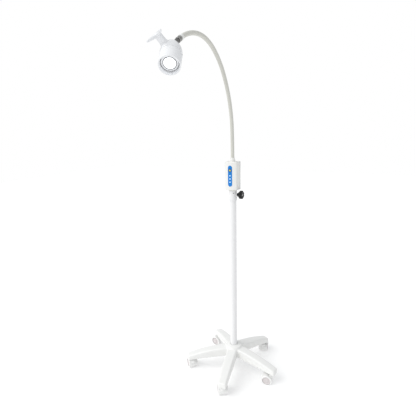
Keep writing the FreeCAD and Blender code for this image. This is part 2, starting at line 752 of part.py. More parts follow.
def make_swivel():
    """White cuff on the neck's end, the knurled nut and the chrome spigot held in the head's boss."""
    end, turn = neck_joints()[-1]
    run = along(turn)
    cuff = rod_between(ferrule_radius, end - run * ferrule_length, end)
    cuff = cuff.cut(link_arc(neck_links - 1))
    save("neck_ferrule", cuff)
    nut = rod_between(spigot_radius + 1.2, end, end + run * nut_length)
    nut = nut.cut(rod_between(spindle_radius + running_gap, end - run, end + run * (nut_length + 1.0)))
    save("swivel_nut", nut)
    shoulder = end + run * (nut_length + contact_gap)
    spigot_end = end + run * (boss_distance + boss_depth - 4.0)
    spigot = fuse(rod_between(spigot_radius, shoulder, spigot_end),
                  rod_between(spindle_radius, end - run * spindle_bite, shoulder + run * 1.0))
    save("head_swivel", spigot)


# ---------------------------------------------------------------- casters
def make_caster(number, heading, leg_angle):
    """Hooded twin-wheel caster, drawn with its stem on Z and its wheels trailing along +X."""
    half_web = hood_web / 2.0
    wheel_in = half_web + contact_gap
    wheel_out = wheel_in + wheel_width
    hub = Vector(wheel_trail, 0, wheel_radius)

    def across(radius, low, high):
        return Part.makeCylinder(radius, high - low, Vector(hub.x, low, hub.z), Vector(0, 1, 0))

    cover_in = wheel_radius + hood_gap
    cover_out = cover_in + hood_shell
    cover = across(cover_out, -wheel_out, wheel_out).cut(across(cover_in, -wheel_out - 1, wheel_out + 1))
    far = 200.0
    rear = Part.makeBox(far, 2 * far, far, Vector(hub.x, -far, hub.z + hood_rear_rise))
    front = Part.makeBox(far, 2 * far, far, Vector(hub.x - far, -far, hood_front_low))
    cover = cover.common(front.fuse(rear))
    web = across(cover_in + 0.5, -half_web, half_web)
    web = web.cut(Part.makeBox(2 * far, 2 * far, far, Vector(-far, -far, web_low - far)))
    neck_top = hub.z + cover_out
    stem_low = hub.z + 0.55 * wheel_radius
    neck = rod(stem_radius + 4.0, hub.z + 0.4 * wheel_radius, neck_top - 0.5)
    neck = neck.cut(across(cover_in, half_web, wheel_out + 1))
    neck = neck.cut(across(cover_in, -wheel_out - 1, -half_web))
    hood = fuse(cover, web, neck)
    hood = hood.cut(across(axle_radius, -wheel_out, wheel_out)).cut(rod(stem_radius, stem_low, far))
    axle_end = wheel_out - 3.0
    axle = across(axle_radius, -axle_end, axle_end)
    shoulder_low = neck_top
    shoulder_high = leg_tip_bottom - contact_gap
    stem = fuse(rod(stem_radius, stem_low, stem_top - contact_gap),
                rod(stem_radius + 3.0, shoulder_low, shoulder_high))
    axle_bore = axle_radius + running_gap

    def wheel(side):
        outline = [(axle_bore, 0), (0.55 * wheel_radius, 0), (wheel_radius - 2.0, 0.6), (wheel_radius, 3.0),
                   (wheel_radius, wheel_width - 4.0), (wheel_radius - 2.5, wheel_width - 1.0),
                   (wheel_radius - 5.0, wheel_width), (wheel_radius - 6.5, wheel_width - 1.6),
                   (0.4 * wheel_radius, wheel_width - 2.4), (0.3 * wheel_radius, wheel_width - 0.8),
                   (0, wheel_width - 0.4), (0, wheel_width - 2.2), (axle_bore, wheel_width - 2.2)]
        disc = turned(outline)
        disc.rotate(Vector(0, 0, 0), Vector(1, 0, 0), -90 * side)
        disc.translate(Vector(hub.x, wheel_in * side, hub.z))
        return disc

    stem_x = stem_reach * math.cos(math.radians(leg_angle))
    stem_y = stem_reach * math.sin(math.radians(leg_angle))
    pieces = {"caster_hood_%d": hood, "caster_pins_%d": Part.makeCompound([stem, axle]),
              "caster_wheel_left_%d": wheel(1), "caster_wheel_right_%d": wheel(-1)}
    for name, shape in pieces.items():
        placed = spun(shape, heading)
        placed.translate(Vector(stem_x, stem_y, 0))
        save(name % number, placed)


# ---------------------------------------------------------------- build everything
make_base()
make_pole()
make_collar()
make_clamp()
make_mast()
make_box()
make_controls()
make_neck()
make_shells()
make_handle()
make_optics()
make_swivel()
for index, caster_heading in enumerate(caster_headings):
    make_caster(index + 1, caster_heading, leg_first_angle + index * 360.0 / leg_count)
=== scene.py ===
# %% [markdown]
# # A mobile examination light
# The light is a five-leg castered base, a pole with a clamp knob, a control box, a flexible
# gooseneck and a bullet-shaped head.  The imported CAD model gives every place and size; this
# lesson gives each visible piece its surface and its finish.

# %% Load the frame
import json
import math

import bmesh
import bpy
import numpy as np
from mathutils import Matrix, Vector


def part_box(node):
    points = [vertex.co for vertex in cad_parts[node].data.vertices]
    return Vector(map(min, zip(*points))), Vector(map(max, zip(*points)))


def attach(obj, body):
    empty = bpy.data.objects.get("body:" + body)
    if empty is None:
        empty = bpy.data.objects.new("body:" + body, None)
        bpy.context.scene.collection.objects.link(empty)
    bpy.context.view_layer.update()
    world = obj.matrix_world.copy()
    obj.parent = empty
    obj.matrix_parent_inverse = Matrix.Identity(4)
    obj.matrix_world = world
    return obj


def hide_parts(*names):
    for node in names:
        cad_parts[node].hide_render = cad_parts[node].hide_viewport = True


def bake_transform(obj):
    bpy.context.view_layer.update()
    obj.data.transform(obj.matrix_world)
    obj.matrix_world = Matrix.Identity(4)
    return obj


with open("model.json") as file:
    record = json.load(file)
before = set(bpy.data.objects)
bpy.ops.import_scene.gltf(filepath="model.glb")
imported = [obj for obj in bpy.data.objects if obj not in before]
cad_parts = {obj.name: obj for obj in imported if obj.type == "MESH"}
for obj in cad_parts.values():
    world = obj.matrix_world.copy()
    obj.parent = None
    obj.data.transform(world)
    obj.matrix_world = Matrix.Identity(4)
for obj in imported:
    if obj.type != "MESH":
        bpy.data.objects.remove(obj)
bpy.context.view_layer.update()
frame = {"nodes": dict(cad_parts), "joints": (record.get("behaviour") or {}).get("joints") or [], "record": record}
nodes = frame["nodes"]
joints = {joint["name"]: joint for joint in frame["joints"]}

# %% [markdown]
# ## Camera
# A camera is placed by a rotation matrix whose columns are its right, up and backward
# directions.  Building it from a heading, a downward pitch and a small roll keeps each number
# readable, and the roll gives the slight lean that a hand-held view has.

# %% Camera
camera_place = (0.745, -1.598, 1.351)
camera_heading = math.radians(29.22)      # turned left of +Y
camera_pitch = math.radians(12.84)        # looking down
camera_roll = math.radians(-1.32)
forward = np.array([-math.sin(camera_heading) * math.cos(camera_pitch),
                    math.cos(camera_heading) * math.cos(camera_pitch),
                    -math.sin(camera_pitch)])
level_right = np.array([math.cos(camera_heading), math.sin(camera_heading), 0.0])
level_up = np.cross(level_right, forward)
right = level_right * math.cos(camera_roll) + level_up * math.sin(camera_roll)
up = np.cross(right, forward)
camera = bpy.data.objects.new("camera", bpy.data.cameras.new("camera"))
bpy.context.scene.collection.objects.link(camera)
turn = np.eye(4)
turn[:3, 0], turn[:3, 1], turn[:3, 2], turn[:3, 3] = right, up, -forward, camera_place
camera.matrix_world = Matrix(turn.tolist())
camera.data.sensor_width = 36.0
camera.data.lens = 29.92
camera.data.clip_end = 50.0
bpy.context.scene.camera = camera
print("camera looks along", np.round(forward, 3))

# %% [markdown]
# ## Light
# White products are shown on white, so form has to come from light that is uneven.  One broad
# sun from the upper left gives bright left sides.  The surroundings are seen as pure white but
# give less light than that, so that right sides fall to a light grey.  A sun keeps the floor
# evenly bright out to its edge.

# %% Light
sun_aim = np.array((-0.42, -0.566, 0.71))         # from the object to the sun
sun = bpy.data.lights.new("soft_sun", "SUN")
sun.energy = 1.7
sun.angle = math.radians(44.0)
sun.color = (1.0, 0.995, 0.985)
sun_lamp = bpy.data.objects.new("soft_sun", sun)
bpy.context.scene.collection.objects.link(sun_lamp)
sun_side = np.cross((0.0, 0.0, 1.0), sun_aim)
sun_side /= np.linalg.norm(sun_side)
sun_turn = np.eye(4)
sun_turn[:3, 0], sun_turn[:3, 1], sun_turn[:3, 2] = sun_side, np.cross(sun_aim, sun_side), sun_aim
sun_lamp.matrix_world = Matrix(sun_turn.tolist())

world = bpy.data.worlds.new("studio")
world.use_nodes = True
sky_tree = world.node_tree
sky_seen = sky_tree.nodes["Background"]
sky_seen.inputs["Color"].default_value = (1.0, 1.0, 1.0, 1.0)
sky_seen.inputs["Strength"].default_value = 1.0
sky_light = sky_tree.nodes.new("ShaderNodeBackground")
sky_light.inputs["Color"].default_value = (0.97, 0.985, 1.0, 1.0)
sky_light.inputs["Strength"].default_value = 0.72
ray = sky_tree.nodes.new("ShaderNodeLightPath")
choice = sky_tree.nodes.new("ShaderNodeMixShader")
sky_tree.links.new(ray.outputs["Is Camera Ray"], choice.inputs["Fac"])
sky_tree.links.new(sky_light.outputs["Background"], choice.inputs[1])
sky_tree.links.new(sky_seen.outputs["Background"], choice.inputs[2])
sky_tree.links.new(choice.outputs["Shader"], sky_tree.nodes["World Output"].inputs["Surface"])
bpy.context.scene.world = world
bpy.context.scene.view_settings.view_transform = "Standard"
print("sun height", round(math.degrees(math.asin(sun_aim[2] / np.linalg.norm(sun_aim))), 1))

# %% [markdown]
# ## How a surface is written
# Every new piece is a grid of points worked out with whole arrays: rows run along one
# parameter, columns along the other.  A grid can be wrapped into a tube, and a first or last
# row that repeats one point closes into a pole when doubled points are merged.

# %% Surface helpers
def grid_faces(rows, columns, wrap_columns=True, wrap_rows=False):
    """Quads of a grid of points; wrapping joins the last row or column to the first."""
    r = np.arange(rows if wrap_rows else rows - 1)[:, None]
    c = np.arange(columns if wrap_columns else columns - 1)[None, :]
    r_next, c_next = (r + 1) % rows, (c + 1) % columns
    corners = [r * columns + c, r * columns + c_next, r_next * columns + c_next, r_next * columns + c]
    return np.stack(np.broadcast_arrays(*corners), -1).reshape(-1, 4)


def surface(points, wrap_columns=True, wrap_rows=False):
    """Vertices and quads of one grid of points shaped (rows, columns, 3)."""
    return points.reshape(-1, 3), grid_faces(points.shape[0], points.shape[1], wrap_columns, wrap_rows)


def with_poles(points):
    """Close both ends of a tube of points with a pole at each end's middle."""
    ends = [np.repeat(points[k].mean(0)[None], points.shape[1], 0)[None] for k in (0, -1)]
    return np.concatenate([ends[0], points, ends[1]])


def piece(name, surfaces, coat, sharp=38.0):
    """One object from several surfaces: merged doubles, outward normals and one finish."""
    offset, verts, faces = 0, [], []
    for points, quads in surfaces:
        verts.append(points)
        faces.append(quads + offset)
        offset += len(points)
    mesh = bpy.data.meshes.new(name)
    mesh.from_pydata(np.concatenate(verts).tolist(), [], np.concatenate(faces).tolist())
    work = bmesh.new()
    work.from_mesh(mesh)
    bmesh.ops.remove_doubles(work, verts=work.verts, dist=2e-6)
    bmesh.ops.recalc_face_normals(work, faces=work.faces)
    work.to_mesh(mesh)
    work.free()
    return finished(name, mesh, coat, sharp)


def finished(name, mesh, coat, sharp=38.0):
    """An object for a mesh, shaded smooth up to a sharp angle, with its finish."""
    mesh.shade_smooth()
    mesh.set_sharp_from_angle(angle=math.radians(sharp))
    thing = bpy.data.objects.new(name, mesh)
    bpy.context.scene.collection.objects.link(thing)
    mesh.materials.append(coat)
    return thing


def rounded(corners, closed=False, steps=5):
    """Outline through corners (across, along, radius); a short parabola rounds each corner."""
    corners = [np.array(corner, float) for corner in corners]
    outline = []
    for k, corner in enumerate(corners):
        at_end = not closed and k in (0, len(corners) - 1)
        if at_end or corner[2] <= 0:
            outline.append(corner[:2])
            continue
        before = corners[k - 1][:2] - corner[:2]
        after = corners[(k + 1) % len(corners)][:2] - corner[:2]
        reach = min(np.linalg.norm(before), np.linalg.norm(after)) * 0.499
        before, after = before / np.linalg.norm(before), after / np.linalg.norm(after)
        half = math.acos(np.clip(before @ after, -1.0, 1.0)) / 2.0
        cut = min(corner[2] / math.tan(half), reach)
        share = np.linspace(0.0, 1.0, steps)[:, None]
        start, stop = corner[:2] + before * cut, corner[:2] + after * cut
        curve = (1 - share) ** 2 * start + 2 * share * (1 - share) * corner[:2] + share ** 2 * stop
        outline.extend(curve)
    return np.array(outline)


def around(steps):
    """Angles in equal steps once round a circle."""
    return np.linspace(0.0, 2 * np.pi, steps, endpoint=False)


def turned(outline, steps=96):
    """Revolve an outline of (radius, height) about the local Z axis."""
    angle = around(steps)
    radius, height = outline[:, :1], outline[:, 1:]
    return np.stack([radius * np.cos(angle), radius * np.sin(angle), height + 0 * angle], -1)


def placed(points, origin, side, axis):
    """Local points to the row frame: local X along side, local Z along axis."""
    side, axis = np.array(side, float), np.array(axis, float)
    return np.array(origin) + points @ np.stack([side, np.cross(axis, side), axis])


def unit(vector):
    """A vector's direction, with length 1."""
    return np.array(vector, float) / np.linalg.norm(vector)


def vertices(thing):
    """Places of an object's mesh vertices."""
    return np.array([vertex.co for vertex in thing.data.vertices])


def triangles(node):
    """Points and triangles of a CAD node."""
    mesh = nodes[node].data
    mesh.calc_loop_triangles()
    return vertices(nodes[node]), np.array([triangle.vertices for triangle in mesh.loop_triangles])


def centroid(node):
    """Area centroid of a CAD node's surface, which lies on the axis of a turned part."""
    points, faces = triangles(node)
    corners = points[faces]
    area = np.linalg.norm(np.cross(corners[:, 1] - corners[:, 0], corners[:, 2] - corners[:, 0]), axis=1)
    return (corners.mean(1) * area[:, None]).sum(0) / area.sum()


def reach_along(node, origin, axis):
    """Lowest and highest distance of a CAD node from a point, along a direction."""
    along = (vertices(nodes[node]) - origin) @ axis
    return along.min(), along.max()


def distance_across(points, origin, axis):
    """Distance of each point from an axis through an origin."""
    away = points - origin
    return np.linalg.norm(away - (away @ axis)[:, None] * axis, axis=1)


def reach_across(node, origin, axis):
    """Greatest distance of a CAD node from an axis through a point."""
    return distance_across(vertices(nodes[node]), origin, axis).max()


def mark(thing, name, values):
    """Store one value for each vertex, for a finish to read by name."""
    attribute = thing.data.attributes.new(name, "FLOAT", "POINT")
    attribute.data.foreach_set("value", np.clip(values, 0.0, 1.0).astype(np.float32))


def walled(outer, inner):
    """Closed wall between two grids of the same size: both faces and the four edges between them."""
    rows, columns = outer.shape[:2]
    sheet = grid_faces(rows, columns, False)
    index = np.arange(rows * columns).reshape(rows, columns)
    rim = np.concatenate([index[0], index[1:, -1], index[-1, -2::-1], index[-2:0:-1, 0]])
    after = np.roll(rim, -1)
    edge = np.stack([rim, after, after + rows * columns, rim + rows * columns], -1)
    points = np.concatenate([outer.reshape(-1, 3), inner.reshape(-1, 3)])
    return points, np.concatenate([sheet, sheet[:, ::-1] + rows * columns, edge])


mm = 0.001
rightward, backward, upward = np.eye(3)
print("helpers ready")

# %% [markdown]
# ## Finishes
# A finish is never one flat colour.  Each one is a small node tree on object coordinates: a
# broad noise shifts the colour a little, a second one breaks up the gloss, and a fine grain
# raises the surface by a few hundredths of a millimetre at most.  Values that are the same
# everywhere, such as a clear coat, are set straight on the shader.

# %% Finish helper
def finish(name, colour, roughness, metallic=0.0, tone=0.94, patch=18.0, grain=900.0, grain_height=0.02,
           gloss_range=0.08, stretch=(1.0, 1.0, 1.0), **shader_values):
    """A node material: base colour drifting to a darker tone, uneven gloss and a fine grain (mm)."""
    material = bpy.data.materials.new(name)
    material.use_nodes = True
    tree = material.node_tree
    shader = tree.nodes["Principled BSDF"]
    place = tree.nodes.new("ShaderNodeTexCoord")
    mapping = tree.nodes.new("ShaderNodeMapping")
    mapping.inputs["Scale"].default_value = stretch
    tree.links.new(place.outputs["Object"], mapping.inputs["Vector"])

    def noise(scale, detail):
        """A noise value on the finish's own coordinates."""
        node = tree.nodes.new("ShaderNodeTexNoise")
        node.inputs["Scale"].default_value = scale
        node.inputs["Detail"].default_value = detail
        tree.links.new(mapping.outputs["Vector"], node.inputs["Vector"])
        return node.outputs["Fac"]

    drift = noise(patch, 4.0)
    blend = tree.nodes.new("ShaderNodeMix")
    blend.data_type = "RGBA"
    blend.inputs["A"].default_value = (*colour, 1.0)
    blend.inputs["B"].default_value = (*[channel * tone for channel in colour], 1.0)
    tree.links.new(drift, blend.inputs["Factor"])
    tree.links.new(blend.outputs["Result"], shader.inputs["Base Color"])
    gloss = tree.nodes.new("ShaderNodeMapRange")
    gloss.inputs["To Min"].default_value = max(0.02, roughness - gloss_range)
    gloss.inputs["To Max"].default_value = min(1.0, roughness + gloss_range)
    tree.links.new(noise(patch * 6.0, 3.0), gloss.inputs["Value"])
    tree.links.new(gloss.outputs["Result"], shader.inputs["Roughness"])
    bump = tree.nodes.new("ShaderNodeBump")
    bump.inputs["Strength"].default_value = 1.0
    bump.inputs["Distance"].default_value = grain_height * mm
    tree.links.new(noise(grain, 2.0), bump.inputs["Height"])
    tree.links.new(bump.outputs["Normal"], shader.inputs["Normal"])
    shader.inputs["Metallic"].default_value = metallic
    for socket, value in shader_values.items():
        shader.inputs[socket.replace("_", " ")].default_value = value
    return material


finishes = {
    "base_paint": finish("base_powder_coat", (0.83, 0.83, 0.815), 0.42, grain=1400.0, grain_height=0.05,
                         Coat_Weight=0.15, Coat_Roughness=0.3),
    "pole_paint": finish("pole_gloss_paint", (0.82, 0.82, 0.825), 0.26, grain=300.0, grain_height=0.012,
                         stretch=(1.0, 1.0, 0.25), Coat_Weight=0.3, Coat_Roughness=0.12),
    "white_plastic": finish("moulded_box_plastic", (0.79, 0.79, 0.77), 0.44, grain=2600.0, grain_height=0.03,
                            Subsurface_Weight=0.03, Subsurface_Radius=(0.004, 0.003, 0.002)),
    "head_plastic": finish("glossy_head_plastic", (0.825, 0.832, 0.85), 0.22, grain=500.0, grain_height=0.006,
                           gloss_range=0.05, Coat_Weight=0.4, Coat_Roughness=0.08),
    "panel_blue": finish("printed_blue_film", (0.0, 0.2, 0.62), 0.42, tone=0.85, grain=1800.0,
                         grain_height=0.01, Coat_Weight=0.5, Coat_Roughness=0.1),
    "key_yellow": finish("yellow_key_silicone", (0.72, 0.68, 0.06), 0.4, tone=0.85, grain=1500.0,
                         grain_height=0.01, Subsurface_Weight=0.2, Subsurface_Radius=(0.002, 0.001, 0.0005)),
    "light_white": finish("lit_light_pipe", (0.95, 0.97, 1.0), 0.25, patch=120.0, grain_height=0.004,
                          Emission_Color=(0.85, 0.94, 1.0, 1.0), Emission_Strength=0.7),
    "knob_black": finish("black_knob_nylon", (0.009, 0.009, 0.01), 0.42, tone=0.7, grain=2200.0,
                         grain_height=0.03),
    "neck_sleeve": finish("silicone_sleeve", (0.62, 0.615, 0.565), 0.5, tone=0.9, patch=30.0, grain=1600.0,
                          grain_height=0.02, Sheen_Weight=0.1),
    "chrome": finish("dark_chrome", (0.2, 0.195, 0.19), 0.22, metallic=1.0, tone=0.8, patch=60.0,
                     grain=700.0, grain_height=0.006),
    "steel": finish("zinc_steel", (0.56, 0.56, 0.55), 0.34, metallic=1.0, tone=0.85, patch=70.0,
                    grain=900.0, grain_height=0.012),
    "aluminium": finish("turned_aluminium", (0.78, 0.78, 0.79), 0.33, metallic=1.0, patch=50.0,
                        grain=900.0, grain_height=0.01, stretch=(1.0, 1.0, 6.0)),
    "nylon": finish("natural_nylon", (0.78, 0.76, 0.68), 0.5, grain=1800.0, grain_height=0.02,
                    Subsurface_Weight=0.1, Subsurface_Radius=(0.003, 0.002, 0.001)),
    "caster_plastic": finish("caster_nylon", (0.85, 0.85, 0.84), 0.4, patch=40.0, grain=1900.0,
                             grain_height=0.03),
    "caster_tyre": finish("grey_tread", (0.52, 0.5, 0.5), 0.55, tone=0.82, patch=90.0, grain=1300.0,
                          grain_height=0.05),
    # This dark finish colours the lens ring's real rubber and also the painted shade ring in the baffle's groove.
    "dark_ring": finish("dark_rubber_and_groove_shade", (0.035, 0.036, 0.04), 0.5, tone=0.75, grain=1500.0,
                        grain_height=0.02),
    "lens_clear": finish("lit_lens", (0.93, 0.95, 0.98), 0.12, patch=140.0, grain=400.0, grain_height=0.004,
                         Emission_Color=(0.95, 0.97, 1.0, 1.0), Emission_Strength=2.0, Coat_Weight=0.6),
    "reflector_metal": finish("bright_reflector", (0.9, 0.9, 0.91), 0.12, metallic=1.0, grain=600.0,
                              grain_height=0.01),
    "circuit": finish("circuit_lacquer", (0.02, 0.16, 0.06), 0.35, tone=0.6, patch=300.0, grain=1200.0,
                      grain_height=0.05),
    "inlet_black": finish("black_inlet_nylon", (0.02, 0.02, 0.021), 0.38, tone=0.7, grain=2000.0,
                          grain_height=0.02),
}
finishes["lip"] = finish("satin_lip_plastic", (0.85, 0.857, 0.872), 0.35, grain=500.0, grain_height=0.006)
finishes["wheel_disc"] = finish("wheel_disc_nylon", (0.68, 0.64, 0.64), 0.45, tone=0.9, patch=60.0,
                                grain=1500.0)
finishes["knurl"] = finish("knurled_chrome", (0.62, 0.61, 0.59), 0.2, metallic=1.0, tone=0.85, patch=60.0)
for name, shine in (("panel_blue", 0.12), ("knob_black", 0.3)):
    finishes[name].node_tree.nodes["Principled BSDF"].inputs["Specular IOR Level"].default_value = shine
print("finishes", len(finishes))

# %% [markdown]
# Some finishes change from place to place.  A marked value on the mesh, or a distance on the
# film, then mixes a second colour into one of the shader's colours.

# %% Second colours
def mixed(material, factor, first, second, socket):
    """Send a mix of two colours to a shader socket; each colour is a node output or plain values."""
    tree = material.node_tree
    mix = tree.nodes.new("ShaderNodeMix")
    mix.data_type = "RGBA"
    tree.links.new(factor, mix.inputs["Factor"])
    for name, colour in (("A", first), ("B", second)):
        if isinstance(colour, tuple):
            mix.inputs[name].default_value = (*colour, 1.0)
        else:
            tree.links.new(colour, mix.inputs[name])
    tree.links.new(mix.outputs["Result"], tree.nodes["Principled BSDF"].inputs[socket])


def marked(material, name):
    """The value that mark() stored under a name, as a node output."""
    node = material.node_tree.nodes.new("ShaderNodeAttribute")
    node.attribute_name = name
    return node.outputs["Fac"]


def base_colour(material):
    """The node output that feeds a finish's base colour."""
    return material.node_tree.nodes["Principled BSDF"].inputs["Base Color"].links[0].from_socket


knurl, lit_lens = finishes["knurl"], finishes["lens_clear"]
# Painted shade: the knurl's cuts and chamfered ends are painted nearly black, standing in for the shade in its
# grooves.
mixed(knurl, marked(knurl, "out_of_groove_shade"), (0.015, 0.015, 0.014), base_colour(knurl), "Base Color")
mixed(lit_lens, marked(lit_lens, "chip"), (0.95, 0.97, 1.0), (0.2, 0.2, 0.215), "Emission Color")
print("marked finishes", knurl.name, lit_lens.name)

# %% [markdown]
# ## Studio floor
# The floor is a pale matte sheet, large enough to run out of the view.  It glows a little, so
# that it stays white to its far edge and only a faint shadow is left under the base.

# %% Floor
floor_reach = 9.0
floor_rows = np.linspace(-floor_reach, floor_reach, 40)
floor_x, floor_y = np.meshgrid(floor_rows, floor_rows)
floor_paper = finish("floor_paper", (0.66, 0.66, 0.66), 0.85, tone=0.99, patch=2.0, grain=300.0)
floor_shader = floor_paper.node_tree.nodes["Principled BSDF"]
floor_shader.inputs["Emission Color"].default_value = (1.0, 1.0, 1.0, 1.0)
floor_shader.inputs["Emission Strength"].default_value = 0.37
floor = piece("studio_floor", [surface(np.stack([floor_x, floor_y, 0 * floor_x], -1), False)],
              floor_paper)
print("floor reaches", floor_reach, "m each way")

# %% [markdown]
# ## CAD pieces that stay
# Every CAD node takes the finish that its slot in the record names.  Tubes, shells, screws and
# inner parts have the right shape already and keep their mesh; the cells below replace the rest.

# %% Carried-over nodes
for row in frame["record"]["subparts"]:
    mesh = nodes[row["node"]].data
    mesh.materials.clear()
    mesh.materials.append(finishes[row["material_slot"]])

# %% [markdown]
# ## Gooseneck sleeve
# The real neck is a bendable spring core in a smooth silicone sleeve.  Its line is a chain of
# circular arcs, one for each link, and the sleeve is a circle carried along it with a shallow
# helical rib that shows the spring underneath.  It is cut at the middle of four inner links, so
# that each of the five pieces crosses one joint.

# %% Neck line
neck_names = ["neck_curl_2", "neck_sway_3", "neck_curl_4", "neck_sway_5", "neck_curl_6", "head_swivel_turn"]
neck_points = [np.array((0.0, 0.0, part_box("neck_cone")[1].z))]
neck_points += [np.array(joints[name]["pos_m"]) for name in neck_names]
neck_tangents = [upward]
for start, end in zip(neck_points, neck_points[1:]):
    chord = unit(end - start)
    neck_tangents.append(2.0 * (neck_tangents[-1] @ chord) * chord - neck_tangents[-1])


def neck_line(place):
    """Point and tangent on the neck; place counts links, so 1.5 is the middle of the second one.

    On a link's arc the point is start + R (sin a . tangent + (1 - cos a) . inward)."""
    place = np.clip(np.asarray(place, float), 0.0, len(neck_names) - 1e-9)
    link = place.astype(int)
    start, end = np.array(neck_points)[link], np.array(neck_points)[link + 1]
    tangent = np.array(neck_tangents)[link]
    chord = np.linalg.norm(end - start, axis=-1, keepdims=True)
    aim = (end - start) / chord
    along = (aim * tangent).sum(-1, keepdims=True)
    inward = aim - along * tangent
    inward /= np.linalg.norm(inward, axis=-1, keepdims=True)
    bend = 2.0 * np.arccos(along)
    radius = chord / (2.0 * np.sin(bend / 2.0))
    angle = bend * (place - link)[..., None]
    point = start + radius * (np.sin(angle) * tangent + (1.0 - np.cos(angle)) * inward)
    return point, np.cos(angle) * tangent + np.sin(angle) * inward


neck_end, neck_run = neck_points[-1], unit(neck_tangents[-1])
print("neck ends at", np.round(neck_end, 4), "running", np.round(neck_run, 3))

# %% Sleeve pieces
sleeve_radius = 9.0 * mm
rib_height = 0.32 * mm
rib_pitch = 5.2 * mm
link_arc = 134.0 * mm        # about the arc of one link
bend_reach = 55.0 * mm       # a distance to each side of a joint
end_gap = 14.0 * mm          # the last piece ends inside the cuff


def sleeve(low, high):
    """Closed tube of radius R + h (cos^4(phase / 2) - 1 / 2), phase = 2 pi s / pitch + angle."""
    rows = int((high - low) * link_arc / (rib_pitch / 7.0))
    place = np.linspace(low, high, rows)
    point, tangent = neck_line(place)
    normal = np.cross(tangent, rightward)
    angle = around(36)
    phase = 2 * np.pi * (place * link_arc / rib_pitch)[:, None] + angle
    radius = sleeve_radius + rib_height * (np.cos(phase / 2.0) ** 4 - 0.5)
    ring = np.cos(angle)[None, :, None] * rightward + np.sin(angle)[None, :, None] * normal[:, None]
    return with_poles(point[:, None] + radius[..., None] * ring)


for k in range(1, 6):
    low = 0.0 if k == 1 else k - 0.5
    high = 6.0 - end_gap / link_arc if k == 5 else k + 0.5
    part = piece(f"neck_sleeve_{k}", [surface(sleeve(low, high))], finishes["neck_sleeve"],
                 60.0)
    before = neck_line(k - bend_reach / link_arc)[0]
    after = neck_line(k + bend_reach / link_arc)[0]
    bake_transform(part)
    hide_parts(f"gooseneck_{k}", *(["gooseneck_6"] if k == 5 else []))
print("sleeve pieces 5")

# %% [markdown]
# ## Head frame
# The head is turned on one axis, tilted in space.  Turned nodes have their centroid on that
# axis, so two centroids give its direction and the handle's centroid gives its side.

# %% Head frame
rim_middle, sink_middle = centroid("head_bezel"), centroid("heat_sink")
head_axis = unit(sink_middle - rim_middle)
rim_low, rim_high = reach_along("head_bezel", rim_middle, head_axis)
rim = rim_middle + rim_low * head_axis
handle_aim = centroid("handle") - rim
head_side = unit(handle_aim - (handle_aim @ head_axis) * head_axis)


def on_head(points):
    """Head coordinates (rim at z = 0, handle on +X) to the row frame."""
    return placed(points, rim, head_side, head_axis)


dome_back = reach_along("head_rear", rim, head_axis)[1]
seam_height = rim_high - rim_low
head_radius = reach_across("head_bezel", rim, head_axis)
print("head length", round(dome_back, 4), "bezel", round(seam_height, 4))

# %% [markdown]
# ## Cast and moulded shapes that melt together
# The dome with its swivel boss, the handle's stem with its arms, and the base are single pieces
# with soft fillets between their parts.  A short way to get that is to build the parts as closed
# surfaces that overlap, skin them with a fine voxel remesh and relax the skin a few times.

# %% Skin helper
def moulded(name, surfaces, voxel, passes, material):
    """One skin over overlapping closed surfaces, relaxed so that their creases become fillets."""
    rough = piece(name + "_core", surfaces, material)
    skin = rough.modifiers.new("skin", "REMESH")
    skin.mode = "VOXEL"
    skin.voxel_size = voxel
    relax = rough.modifiers.new("relax", "SMOOTH")
    relax.factor = 0.6
    relax.iterations = passes
    bpy.context.view_layer.update()
    mesh = bpy.data.meshes.new_from_object(rough.evaluated_get(bpy.context.evaluated_depsgraph_get()))
    bpy.data.objects.remove(rough)
    mesh.name = name
    mesh.materials.clear()
    return finished(name, mesh, material, 60.0)


def tube(path, radius, steps=40):
    """Closed tube with given radii along a path; each ring stands across the path."""
    path = np.array(path, float)
    radius = np.broadcast_to(radius, len(path))
    tangent = np.gradient(path, axis=0)
    tangent /= np.linalg.norm(tangent, axis=1, keepdims=True)
    guide = upward if abs(tangent[0, 2]) < 0.8 else backward
    across = np.cross(tangent, guide)
    across /= np.linalg.norm(across, axis=1, keepdims=True)
    normal = np.cross(tangent, across)
    angle = around(steps)
    ring = np.cos(angle)[None, :, None] * across[:, None] + np.sin(angle)[None, :, None] * normal[:, None]
    return with_poles(path[:, None] + radius[:, None, None] * ring)


def round_tube(path, radii, steps=40):
    """A tube with half-ball ends: extra rings beyond each end shrink as the cosine of their step."""
    turn = np.linspace(0.0, np.pi / 2, 8)[1:] * 0.999
    ahead, behind = unit(path[-1] - path[-2]), unit(path[0] - path[1])
    front = path[-1] + radii[-1] * np.sin(turn)[:, None] * ahead
    rear = path[0] + radii[0] * np.sin(turn)[::-1, None] * behind
    all_radii = np.concatenate([radii[0] * np.cos(turn)[::-1], radii, radii[-1] * np.cos(turn)])
    return tube(np.concatenate([rear, path, front]), all_radii, steps)


# %% Dome with its swivel boss
lip = 0.8 * mm
dome_foot = seam_height + 0.7 * mm
shoulder = seam_height + 4.0 * mm
angle = np.linspace(0.0, np.pi / 2, 40)[:-1]
dome_skirt = np.array([(head_radius - 1.2 * mm, dome_foot), (head_radius + 0.3 * lip, dome_foot),
                       (head_radius + lip, dome_foot + 0.6 * mm), (head_radius + lip, shoulder)])
dome_curve = np.stack([(head_radius + lip) * np.cos(angle),
                       shoulder + (dome_back - shoulder) * np.sin(angle)], -1)
dome_outline = np.concatenate([dome_skirt, dome_curve])
dome_skin = on_head(with_poles(turned(dome_outline, 144)))
boss_radius = 12.2 * mm
boss_places = np.array((44.2, 45.0, 47.0, 50.0, 53.0, 57.0, 62.0)) * mm      # from the neck's end
boss_radii = boss_radius + np.array((-1.4, 0.0, 0.1, 0.6, 1.8, 3.6, 5.0)) * mm
boss_skin = tube(neck_end + boss_places[:, None] * neck_run, boss_radii, 64)
dome = moulded("head_dome", [surface(dome_skin), surface(boss_skin)], voxel=0.9 * mm, passes=10,
               material=finishes["head_plastic"])
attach(dome, "head")
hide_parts("head_rear")
print("dome faces", len(dome.data.polygons))
